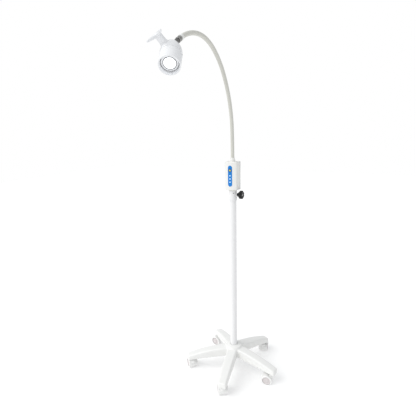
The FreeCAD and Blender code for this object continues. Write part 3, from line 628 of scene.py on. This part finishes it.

# %% [markdown]
# ## Bezel, baffle and lens
# The front of the head is a deep cup.  Its thick lip is rounded, a narrow groove runs round the
# white baffle with a thin ring of painted shade at its bottom, and a rubber ring holds the lens.
# All are turned outlines with rounded corners.

# %% Bezel
rim_radius = head_radius / mm
bezel_outline = rounded([(rim_radius - 2.6, 56.9, 0), (rim_radius, 56.9, 0.5), (rim_radius, 30.0, 0),
                         (rim_radius, 0.0, 2.6), (rim_radius - 4.2, 0.0, 2.2),
                         (rim_radius - 6.2, 13.9, 1.0), (33.1, 13.9, 0.3), (32.9, 15.6, 0.2),
                         (31.1, 15.6, 0.2), (30.9, 13.6, 0.4), (28.0, 13.0, 4.0),
                         (24.4, 13.6, 0.5), (24.2, 17.0, 0),
                         (rim_radius - 2.6, 17.0, 0.0)], closed=True) * mm
bezel = piece("head_bezel_shell", [surface(on_head(turned(bezel_outline, 160)), wrap_rows=True)],
              finishes["lip"], 30.0)
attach(bezel, "head")
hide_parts("head_bezel")

# A thin dark ring at the bottom of the groove is painted shade: it stands in for the groove's shadow.
groove_shade_outline = rounded([(31.2, 15.4, 0), (32.8, 15.4, 0), (32.8, 14.6, 0), (31.2, 14.6, 0)],
                         closed=True) * mm
groove = piece("rim_groove_painted_shade", [surface(on_head(turned(groove_shade_outline, 160)), wrap_rows=True)],
               finishes["dark_ring"])
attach(groove, "head")

ring_outline = rounded([(21.6, 17.5, 0), (24.1, 17.5, 0), (24.1, 13.0, 0.7), (21.6, 12.6, 0.7)],
                       closed=True) * mm
gasket = piece("lens_ring", [surface(on_head(turned(ring_outline, 128)), wrap_rows=True)],
               finishes["dark_ring"])
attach(gasket, "head")
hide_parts("lens_gasket")
print("bezel faces", len(bezel.data.polygons), "rings", len(groove.data.polygons), len(gasket.data.polygons))

# %% [markdown]
# The lens is a shallow dome whose face is covered by small hexagonal bumps.  Seven chips shine
# through it, one in the middle and six round it, and show as slightly dimmer dots.

# %% Lens with small optics
lens_radius = 21.7 * mm
lens_edge = 13.6 * mm        # from the rim
lens_rise = 1.2 * mm
cell_pitch = 3.3 * mm
cell_height = 0.42 * mm
chip_circle = 9.5 * mm
chip_reach = 2.4 * mm


def lens_face(rows=120, columns=180):
    """Disc of height edge - rise (1 - r^2 / R^2) - bumps; bumps sum cosines along three directions."""
    radius = (lens_radius * np.linspace(0.0, 1.0, rows) ** 0.8)[:, None]
    angle = around(columns)[None]
    x, y = radius * np.cos(angle), radius * np.sin(angle)
    waves = [np.cos(4 * np.pi / math.sqrt(3.0) / cell_pitch * (x * math.cos(t) + y * math.sin(t)))
             for t in (0.0, np.pi / 3, 2 * np.pi / 3)]
    cell = (waves[0] + waves[1] + waves[2] + 1.5) / 4.5
    inside = np.clip((lens_radius * 0.93 - radius) / (1.5 * mm), 0.0, 1.0)
    height = lens_edge - lens_rise * (1 - (radius / lens_radius) ** 2) - cell_height * cell * inside
    return np.stack([x, y, height], -1)


lens_points = lens_face()
lens_back = lens_points[-1:] + np.array((0.0, 0.0, 4.0 * mm))
back_pole = np.repeat(lens_back.mean(1, keepdims=True), lens_back.shape[1], 1)
lens_skin = on_head(np.concatenate([lens_points, lens_back, back_pole]))
lens = piece("lens_optic", [surface(lens_skin)], finishes["lens_clear"], 50.0)
lens_away = vertices(lens) - rim
lens_place = np.stack([lens_away @ head_side, lens_away @ np.cross(head_axis, head_side)], -1)
sixths = np.arange(6) * np.pi / 3
chips = chip_circle * np.array([(0.0, 0.0)] + [(math.cos(turn), math.sin(turn)) for turn in sixths])
nearest = np.linalg.norm(lens_place[:, None] - chips[None], axis=2).min(1)
mark(lens, "chip", (chip_reach - nearest) / (chip_reach / 2))
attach(lens, "head")
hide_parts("lens")
print("lens faces", len(lens.data.polygons))

# %% [markdown]
# ## T-handle
# The handle is one moulding: a tapering stem that flares into the dome, and two arms that curve
# outward and towards the rim, one to each side.  The stem's foot lies on the dome's curve, and
# the arms are set from that foot.

# %% Handle
foot_height = 87.0 * mm
foot_rise = (foot_height - seam_height) / (dome_back - seam_height)
foot = np.array((head_radius * math.sqrt(1.0 - foot_rise ** 2), 0.0, foot_height))
junction = foot + np.array((33.0, 0.0, 8.0)) * mm
arm_reach = np.array((13.5, 31.0, -25.5)) * mm
root_softness = 0.06
share = np.linspace(-1.0, 1.0, 49)[:, None]
sweep = np.sqrt(share ** 2 + root_softness) - math.sqrt(root_softness)
sweep /= sweep.max()
arm_path = junction + np.concatenate([sweep * arm_reach[0], share * arm_reach[1], sweep * arm_reach[2]], 1)
arm_radii = (9.0 - 4.2 * np.abs(share[:, 0]) ** 0.7) * mm
stem_share = np.linspace(-0.3, 1.0, 26)
stem_path = foot + stem_share[:, None] * (junction - foot)
stem_radii = (8.2 + 3.2 * np.exp(-((stem_share + 0.3) / 0.36) ** 2)) * mm
stem_widening = np.array((1.0, 1.78, 1.0))
stem_skin = (tube(stem_path, stem_radii, 48) - foot) * stem_widening + foot
handle = moulded("t_handle", [surface(on_head(round_tube(arm_path, arm_radii))),
                              surface(on_head(stem_skin))], voxel=0.8 * mm, passes=14,
                 material=finishes["head_plastic"])
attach(handle, "head")
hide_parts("handle")
print("handle faces", len(handle.data.polygons))

# %% [markdown]
# ## Swivel coupling
# Between the sleeve and the head sits a dark chromed coupling.  The nut is knurled: its radius
# falls along two families of crossing helical cuts.  Behind it a turned spigot with two ring
# grooves goes into the head's boss, and a white cuff closes the sleeve.

# %% Coupling
across_run = unit(np.cross(neck_run, rightward))


def on_swivel(points):
    """Coupling coordinates (neck's end at z = 0, running into the head) to the row frame."""
    return placed(points, neck_end, across_run, neck_run)


def knurled(low, high, radius, cuts=26, depth=0.55 * mm, rows=110, columns=208):
    """Cylinder of radius R - d (1 - |sin((n a + k z) / 2)| |sin((n a - k z) / 2)|), plain at its ends."""
    height = np.linspace(low, high, rows)[:, None]
    angle = around(columns)[None]
    slope = cuts / radius
    cross = np.abs(np.sin((cuts * angle + slope * height) / 2) * np.sin((cuts * angle - slope * height) / 2))
    from_end = np.minimum(height - low, high - height)
    edge = np.clip(from_end / (1.6 * mm) - 1.0, 0.0, 1.0)
    shrink = 0.7 * mm * np.clip(1.0 - from_end / (0.8 * mm), 0.0, 1.0) ** 2
    ring = radius - shrink - depth * edge * (1.0 - cross)
    points = np.stack([ring * np.cos(angle), ring * np.sin(angle), height + 0 * angle], -1)
    return with_poles(points)


nut = piece("knurled_nut", [surface(on_swivel(knurled(0.1 * mm, 20.0 * mm, 10.6 * mm)))],
            finishes["knurl"], 50.0)
# The mark is 0 in the cuts and at the chamfered ends, where the nut is painted nearly black as painted shade, and
# 1 on the ridges.
groove_shade_radius, groove_shade_ramp = 9.95 * mm, 0.6 * mm
nut_out = distance_across(vertices(nut), neck_end, neck_run)
mark(nut, "out_of_groove_shade", (nut_out - groove_shade_radius) / groove_shade_ramp)
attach(nut, "neck_6")
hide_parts("swivel_nut")

spigot_corners = [(0, 20.2, 0), (8.6, 20.2, 0.3), (8.6, 21.6, 0.2), (9.5, 21.8, 0.4)]
for ring_place in (25.0, 32.0):
    spigot_corners += [(9.5, ring_place, 0.4), (8.8, ring_place + 0.4, 0.2), (8.8, ring_place + 1.4, 0.2),
                       (9.5, ring_place + 1.8, 0.4)]
spigot_corners += [(9.5, 60.0, 0), (0, 60.0, 0)]
spigot_outline = rounded(spigot_corners) * mm
spigot = piece("swivel_spigot", [surface(on_swivel(turned(spigot_outline, 96)))], finishes["chrome"])
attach(spigot, "head")
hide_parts("head_swivel")

cuff_outline = rounded([(9.3, -15.0, 0), (10.2, -15.0, 0.5), (10.9, -6.0, 2.0), (10.9, 0.0, 0.7),
                        (0, 0.0, 0)]) * mm
cuff_outline = np.concatenate([[(0.0, -15.0 * mm)], cuff_outline])
cuff = piece("neck_cuff", [surface(on_swivel(turned(cuff_outline, 96)))], finishes["white_plastic"])
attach(cuff, "neck_6")
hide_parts("neck_ferrule")
print("coupling faces", len(nut.data.polygons), len(spigot.data.polygons))

# %% [markdown]
# ## Clamp knob
# The knob is a black moulded star knob.  Its outline is a circle pulled in by seven rounded
# scallops, which fade out on the cone behind and on the slightly hollow face in front.

# %% Clamp knob
knob_low, knob_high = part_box("lock_knob")
knob_length = (knob_high.x - knob_low.x) / mm
clamp_axis = np.array((knob_low.x, 0.0, joints["knob_turn"]["pos_m"][2]))
lobes, knob_steps = 7, 210
knob_outline = rounded([(0, 0, 0), (6.0, 0, 0.6), (6.2, 3.4, 0.5), (10.4, 4.4, 1.5), (11.6, 11.4, 2.0),
                        (19.0, 13.6, 2.5), (21.8, 17.0, 2.0), (22.0, knob_length - 7.0, 3.0),
                        (18.0, knob_length - 3.4, 2.4), (12.0, knob_length - 3.8, 1.0),
                        (10.5, knob_length - 5.4, 1.0), (0, knob_length - 5.8, 0)], steps=6)
knob_ring = turned(knob_outline, knob_steps)
knob_angle = around(knob_steps)
scallop = np.clip(0.5 + 0.72 * np.cos(lobes * knob_angle), 0.0, 1.1) ** 1.5
lobe_share = np.clip((knob_outline[:, 0] - 13.0) / 8.0, 0.0, 1.0)
pull = 1.0 - 0.24 * lobe_share[:, None] * scallop
knob_points = knob_ring * np.stack([pull, pull, np.ones_like(pull)], -1) * mm
knob = piece("star_knob", [surface(placed(knob_points, clamp_axis, backward, rightward))],
             finishes["knob_black"], 50.0)
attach(knob, "knob")
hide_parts("lock_knob")
print("knob faces", len(knob.data.polygons))

# %% [markdown]
# ## Control box details
# A dark gasket shows as a fine line where the front cover meets the back shell.  The power key
# is a soft dished button, and three small domes carry the light out through the blue film.

# %% Gasket line
box_low, box_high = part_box("box_front")
seam_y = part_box("box_back")[0].y


def gasket_loop(rise, depth, corner=3.0 * mm, steps=8):
    """Rounded rectangle round the box at a depth, raised off its walls."""
    half = (box_high.x - box_low.x) / 2 + rise
    low, high = box_low.z - rise, box_high.z + rise
    turn = np.linspace(0.0, np.pi / 2, steps)
    centres = [(half - corner, high - corner), (corner - half, high - corner),
               (corner - half, low + corner), (half - corner, low + corner)]
    x = np.concatenate([cx + corner * np.cos(turn + k * np.pi / 2) for k, (cx, cz) in enumerate(centres)])
    z = np.concatenate([cz + corner * np.sin(turn + k * np.pi / 2) for k, (cx, cz) in enumerate(centres)])
    return np.stack([x, np.full_like(x, depth), z], -1)


gasket_rings = np.stack([gasket_loop(rise * mm, seam_y + depth * mm)
                         for rise, depth in ((-0.4, -0.35), (0.12, -0.35), (0.12, 0.35), (-0.4, 0.35))])
gasket_line = piece("box_gasket", [surface(gasket_rings, wrap_rows=True)], finishes["inlet_black"])
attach(gasket_line, "mast")
print("box gasket at y", round(seam_y, 4))

# %% Power key and indicator domes
key_low, key_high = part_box("power_key")
key_middle = ((key_low.x + key_high.x) / 2, (key_low.z + key_high.z) / 2)
panel_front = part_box("control_panel")[0].y
key_outline = rounded([(0, 6.4, 0), (6.2, 6.4, 0.2), (6.2, 5.0, 0.2), (4.5, 4.8, 0.2), (4.5, 0.1, 0.9),
                       (3.2, -0.1, 0.8), (2.4, 0.35, 0.8), (0, 0.35, 0)]) * mm
key_origin = (key_middle[0], key_low.y, key_middle[1])
key_points = placed(turned(key_outline, 64), key_origin, rightward, backward)
key_cap = piece("power_key_cap", [surface(key_points)], finishes["key_yellow"])
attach(key_cap, "key")
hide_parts("power_key")

dome_angle = np.linspace(0.0, np.pi / 2, 8)[::-1]
pipe_radius = 1.85
dome_cap = np.stack([pipe_radius * np.cos(dome_angle), -0.9 * np.sin(dome_angle)], -1)
pipe_outline = np.concatenate([dome_cap, [(pipe_radius, 6.0), (0, 6.0)]]) * mm
lights_low, lights_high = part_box("light_pipes")
light_heights = np.linspace(lights_low.z + 1.9 * mm, lights_high.z - 1.9 * mm, 3)
pipe_points = turned(pipe_outline, 40)
pipe_surfaces = [surface(placed(pipe_points, (0.0, panel_front, height), rightward, backward))
                 for height in light_heights]
lights = piece("indicator_domes", pipe_surfaces, finishes["light_white"])
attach(lights, "mast")
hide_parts("light_pipes")
print("key faces", len(key_cap.data.polygons), "light faces", len(lights.data.polygons))

# %% [markdown]
# The film is printed from behind.  Round zones of other inks sit round the key and the three
# lights; each one is a distance from its centre, measured across the front.

# %% Printed zones of the film
film = finishes["panel_blue"]
film_nodes, film_links = film.node_tree.nodes, film.node_tree.links
film_place = film_nodes.new("ShaderNodeTexCoord")
film_flat = film_nodes.new("ShaderNodeVectorMath")
film_flat.operation = "MULTIPLY"
film_flat.inputs[1].default_value = (1.0, 0.0, 1.0)
film_links.new(film_place.outputs["Object"], film_flat.inputs[0])
soft_edge = 0.4
zones = [(key_middle[1], 8.6, (0.002, 0.045, 0.24)), (key_middle[1], 5.6, (0.004, 0.12, 0.42))]
zones += [(height, 3.2, (0.35, 0.6, 0.85)) for height in light_heights]
for height, reach, ink in zones:
    away = film_nodes.new("ShaderNodeVectorMath")
    away.operation = "DISTANCE"
    away.inputs[1].default_value = (0.0, 0.0, height)
    film_links.new(film_flat.outputs["Vector"], away.inputs[0])
    edge = film_nodes.new("ShaderNodeMapRange")
    edge.inputs["From Min"].default_value = (reach + soft_edge) * mm
    edge.inputs["From Max"].default_value = reach * mm
    film_links.new(away.outputs["Value"], edge.inputs["Value"])
    mixed(film, edge.outputs["Result"], base_colour(film), ink, "Base Color")
print("film zones", len(zones))

# %% [markdown]
# ## Small screws
# A grub screw holds the collar on the pole, and three small screws show as dark dots on the
# shoulder and at the seam of the head.

# %% Collar screw
collar_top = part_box("pole_collar")[1].z
collar_radius, screw_drop = 21.4, 13.0
screw_turn = math.radians(33.0)           # from the front towards the right
screw_out = np.array((math.sin(screw_turn), -math.cos(screw_turn), 0.0))
screw_centre = screw_out * collar_radius * mm + np.array((0.0, 0.0, collar_top - screw_drop * mm))
screw_outline = rounded([(0, -3.0, 0), (2.6, -3.0, 0), (2.6, 0.3, 0.4), (1.3, 0.3, 0.1), (1.2, -1.4, 0),
                         (0, -1.5, 0)]) * mm
screw_points = placed(turned(screw_outline, 36), screw_centre, upward, screw_out)
collar_screw = piece("collar_screw", [surface(screw_points)], finishes["knob_black"])
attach(collar_screw, "stand")
print("collar screw at", np.round(screw_centre, 4))

# %% Dome screws
screw_places = [(105.0, 80.0), (112.0, 92.0), (124.0, 58.6)]         # turn from the handle, height
screw_cap = rounded([(0, -2.0, 0), (1.7, -2.0, 0), (1.7, 0.5, 0.4), (0.9, 0.5, 0.1), (0.8, -0.6, 0),
                     (0, -0.7, 0)], steps=4) * mm
dome_height = dome_back - seam_height
screw_surfaces = []
for turn_by, height in screw_places:
    rise = (height * mm - seam_height) / dome_height
    width = math.sqrt(1.0 - rise ** 2)
    way = np.array((math.cos(math.radians(turn_by)), math.sin(math.radians(turn_by)), 0.0))
    seat = way * (head_radius + 0.2 * mm) * width + upward * height * mm
    normal = unit(way * width / head_radius + upward * rise / dome_height)
    cap = placed(turned(screw_cap, 32), seat, np.cross(way, upward), normal)
    screw_surfaces.append(surface(on_head(cap)))
dome_screws = piece("dome_screws", screw_surfaces, finishes["knob_black"])
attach(dome_screws, "head")
print("dome screws", len(screw_places))

# %% [markdown]
# ## Base casting
# A cast base has no crisp edges.  One skin is laid over the star and its trim ring and relaxed,
# so that every edge turns into a soft radius and the legs flow into the hub.

# %% Base skin
base_skin = moulded("base_casting", [triangles("base_star"), triangles("hub_ring")], voxel=2.3 * mm,
                    passes=14, material=finishes["base_paint"])
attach(base_skin, "stand")
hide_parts("base_star", "hub_ring")
print("base faces", len(base_skin.data.polygons))

# %% [markdown]
# ## Casters
# Each twin-wheel caster has a moulded hood that wraps over the top and down the front, a web
# between the wheels, and two wheels with a soft tread and a dished disc.  One set of surfaces
# is worked out in the caster's own axes and placed five times by the joints of the frame.

# %% Caster surfaces
wheel_size = joints["wheel_spin_left_1"]["pos_m"][2] / mm
first_swivel = np.array(joints["caster_swivel_1"]["pos_m"])
first_axle = np.array(joints["wheel_spin_left_1"]["pos_m"])
trail = np.linalg.norm((first_axle - first_swivel)[:2]) / mm
web_half, web_foot = 7.4, 9.0
tread_width = 16.0
hood_rise = 4.1              # top of the hood above the tread


def around_axle(radius, across, angle):
    """Caster point at a radius and angle about the axle, and a distance along it."""
    return np.stack([trail + radius * np.cos(angle), across + 0 * angle,
                     wheel_size + radius * np.sin(angle)], -1)


def hood_cover():
    """A rounded channel carried round the axle, from behind the wheels over the top to the front."""
    skirt, top, half = wheel_size - 3.0, wheel_size + hood_rise, 25.4
    roof, side = top - 2.4, half - 1.3
    outer = rounded([(skirt, -half, 0), (top, -half, 4.5), (top, half, 4.5), (skirt, half, 0)], steps=8)
    inner = rounded([(skirt, -side, 0), (roof, -side, 2.6), (roof, side, 2.6), (skirt, side, 0)], steps=8)
    rear = math.asin(4.0 / top)
    front = np.pi + math.asin((wheel_size - 7.0) / top)
    angle = np.linspace(rear, front, 56)[:, None]
    outer_wall, inner_wall = (around_axle(line[None, :, 0], line[None, :, 1], angle) * mm
                              for line in (outer, inner))
    return walled(outer_wall, inner_wall)


def hood_web():
    """Disc between the wheels with its foot cut level above the floor."""
    reach = wheel_size + 2.2
    outline = rounded([(0, -web_half, 0), (reach, -web_half, 1.0), (reach, web_half, 1.0), (0, web_half, 0)])
    angle = around(72)[None]
    points = around_axle(outline[:, :1], outline[:, 1:], angle)
    points[..., 2] = np.maximum(points[..., 2], web_foot)
    return surface(points * mm)


def hood_neck():
    """Turned seat round the stem on top of the hood."""
    crown = 2 * wheel_size + hood_rise
    outline = rounded([(0, crown - 16.0, 0), (13.0, crown - 16.0, 0), (13.0, crown - 4.5, 3.0),
                       (9.8, crown - 0.6, 2.0), (9.0, crown + 0.9, 0.6), (0, crown + 0.9, 0)])
    return surface(turned(outline, 64) * mm)


def tyre_ring():
    """Closed tread section with rounded shoulders and three fine grooves."""
    outer, width = wheel_size, tread_width
    outline = [(outer - 4.2, 0.4, 0), (outer - 1.6, 0.2, 1.0), (outer, 2.4, 1.6)]
    for groove in (5.0, 8.0, 11.0):
        outline += [(outer, groove - 0.35, 0.1), (outer - 0.5, groove, 0.1), (outer, groove + 0.35, 0.1)]
    outline += [(outer, width - 2.6, 1.6), (outer - 1.8, width - 0.3, 1.0), (outer - 3.1, width, 0.5),
                (outer - 4.2, width - 1.0, 0)]
    return turned(rounded(outline, closed=True), 96) * mm


def wheel_disc():
    """Dished disc: rim step, five shallow pockets that fade in and out, and a domed cap."""
    outer, inner, face = wheel_size - 3.4, 0.44 * wheel_size, 13.3
    rim = rounded([(0, 1.0, 0), (outer, 0.8, 0), (outer, 14.9, 0.5), (outer - 1.8, 14.8, 0.5),
                   (outer - 2.6, face, 0.5), (outer - 3.0, face, 0)], steps=5)
    web = np.stack([np.linspace(outer - 3.0, inner, 12)[1:-1], np.full(10, face)], -1)
    cap = rounded([(inner, face, 0), (0.40 * wheel_size, face, 0.4), (0.36 * wheel_size, 14.7, 0.8),
                   (4.2, 15.2, 1.0), (3.4, 14.6, 0.4), (0, 15.0, 0)], steps=5)
    outline = np.concatenate([rim, web, cap])
    points = turned(outline, 100)
    angle = around(100)
    middle, half = (outer - 3.0 + inner) / 2, (outer - 3.0 - inner) / 2
    band = np.clip(1.15 - ((outline[:, 0] - middle) / (0.9 * half)) ** 4, 0.0, 1.0)
    band *= np.abs(outline[:, 1] - face) < 0.01
    pocket = np.clip(3.0 * (np.cos(5 * angle) + 0.35), 0.0, 1.0)
    points[..., 2] -= 0.9 * band[:, None] * pocket
    return points * mm


print("caster wheel radius", wheel_size, "trail", round(trail, 2))

# %% Five casters
for k in range(1, 6):
    stem_place = np.array(joints[f"caster_swivel_{k}"]["pos_m"])
    hub_place = np.array(joints[f"wheel_spin_left_{k}"]["pos_m"])
    heading = unit((hub_place - stem_place) * (1.0, 1.0, 0.0))
    foot_place = stem_place * (1.0, 1.0, 0.0)
    hood_parts = [(placed(points, foot_place, heading, upward), faces)
                  for points, faces in (hood_cover(), hood_web(), hood_neck())]
    hood = piece(f"caster_hood_shell_{k}", hood_parts, finishes["caster_plastic"], 35.0)
    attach(hood, f"caster_{k}")
    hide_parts(f"caster_hood_{k}")
    for side, hand in (("left", 1.0), ("right", -1.0)):
        outward = np.cross(upward, heading) * hand
        inner_face = hub_place + outward * (web_half + 0.5) * mm
        tread = surface(placed(tyre_ring(), inner_face, upward, outward), wrap_rows=True)
        dish = surface(placed(wheel_disc(), inner_face, upward, outward))
        tyre = piece(f"tread_{side}_{k}", [tread], finishes["caster_tyre"])
        disc = piece(f"wheel_disc_{side}_{k}", [dish], finishes["wheel_disc"], 35.0)
        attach(tyre, f"wheel_{side}_{k}")
        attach(disc, f"wheel_{side}_{k}")
        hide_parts(f"caster_wheel_{side}_{k}")
print("casters 5")
